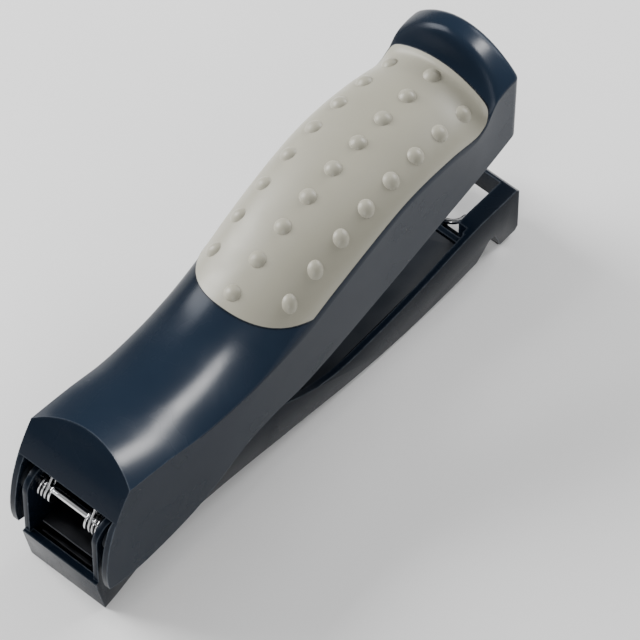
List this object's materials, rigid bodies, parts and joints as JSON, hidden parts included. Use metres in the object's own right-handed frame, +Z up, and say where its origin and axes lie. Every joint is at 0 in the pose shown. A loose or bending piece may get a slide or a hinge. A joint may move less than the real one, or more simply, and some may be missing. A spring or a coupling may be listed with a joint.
{
  "type": "lever nail clipper",
  "caption": "Stapler-shaped nail clipper: a hollow lever with a soft studded grip, sprung open on a nose pin, presses an upper jaw onto a fixed lower jaw in a long base arm.",
  "frame": {"origin": "middle of the footprint on the surface it stands on", "axes": "+Y from the nose to the tail, +Z up, +X across"},
  "size_m": [0.0518, 0.231, 0.1168],
  "materials": {
    "navy_plastic": "satin moulded plastic",
    "grip_rubber": "soft matt rubber",
    "dark_plastic": "matt moulded plastic",
    "foot_rubber": "matt rubber",
    "chrome_steel": "polished plating",
    "black_steel": "black oxide",
    "spring_steel": "drawn wire",
    "zinc_screw": "zinc plated",
    "bronze_bush": "sintered bronze"
  },
  "bodies": {
    "base": {"base_shell": "navy_plastic", "channel_cover": "dark_plastic", "cover_screws": "zinc_screw", "front_foot": "foot_rubber", "rear_foot": "foot_rubber", "lower_jaw": "black_steel", "jaw_screws": "zinc_screw", "jaw_pin": "chrome_steel", "jaw_spring": "spring_steel", "hinge_pin": "chrome_steel", "pin_collars": "chrome_steel", "return_springs": "spring_steel"},
    "lever": {"lever_shell": "navy_plastic", "grip_pad": "grip_rubber", "lever_liner": "dark_plastic", "liner_screws": "zinc_screw", "presser_block": "dark_plastic", "presser_screw": "zinc_screw", "hinge_bushes": "dark_plastic", "spring_arms": "spring_steel", "stop_bumper": "foot_rubber", "lock_catch": "black_steel", "catch_screws": "zinc_screw"},
    "jaw": {"upper_jaw": "black_steel", "jaw_bush": "bronze_bush"},
    "loop": {"lock_loop": "chrome_steel"}
  },
  "joints": [
    {"name": "lever_hinge", "type": "hinge", "parent": "base", "child": "lever", "pos_m": [0, -0.106, 0.042], "axis": [1, 0, 0], "range_deg": [-11, 0], "stiffness_Nm_per_rad": 0.8, "springref_deg": 25.78},
    {"name": "jaw_hinge", "type": "hinge", "parent": "base", "child": "jaw", "pos_m": [0, -0.0275, 0.0215], "axis": [1, 0, 0], "range_deg": [0, 3.2], "deforming": ["jaw_spring"]},
    {"name": "loop_hinge", "type": "hinge", "parent": "base", "child": "loop", "pos_m": [0, 0.1005, 0.0135], "axis": [-1, 0, 0], "range_deg": [0, 80]}
  ],
  "couplings": [
    {"joint": "jaw_hinge", "follows": "lever_hinge", "ratio": -0.28}
  ]
}
